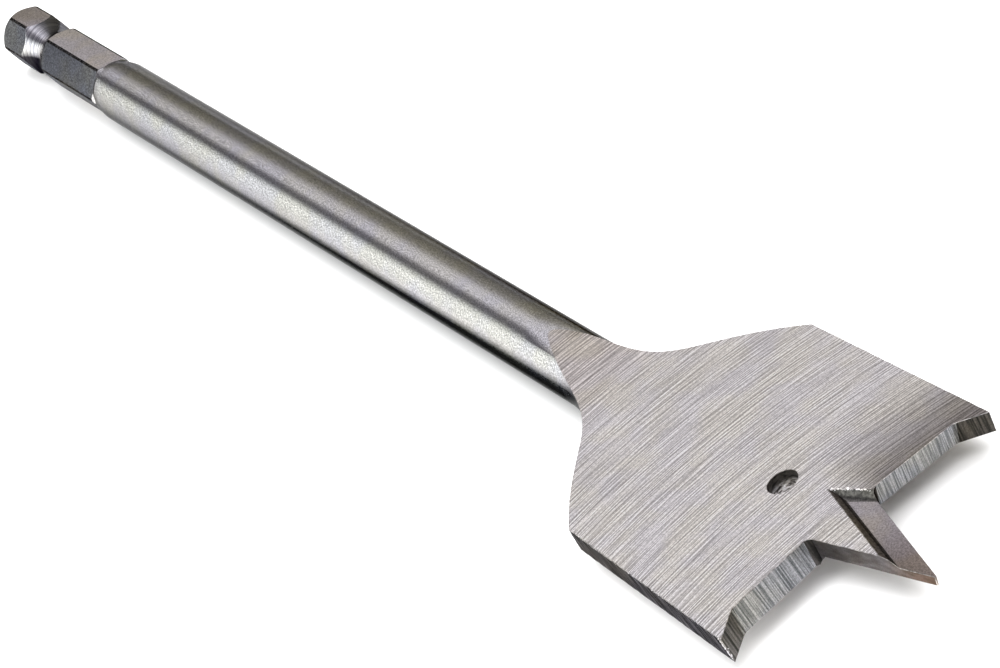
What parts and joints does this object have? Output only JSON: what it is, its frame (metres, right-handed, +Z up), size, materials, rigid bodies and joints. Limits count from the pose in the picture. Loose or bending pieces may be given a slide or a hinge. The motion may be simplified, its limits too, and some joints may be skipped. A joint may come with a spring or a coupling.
{
  "type": "spade drill bit",
  "caption": "Flat spade drill bit for wood: cutting lips, corner spurs and a hollow-ground centre point on a round shaft with a hexagonal quick-change shank.",
  "frame": {"origin": "bottom centre of the bounding box, on the surface the bit lies on", "axes": "+X along the bit towards the tip, +Y across the blade, +Z up out of the blade's upper face"},
  "size_m": [0.2, 0.032, 0.0071],
  "materials": {
    "steel": "bare ground steel, satin shaft, blade ground across its width"
  },
  "bodies": {
    "root": {"spade_bit": "steel"}
  },
  "joints": []
}
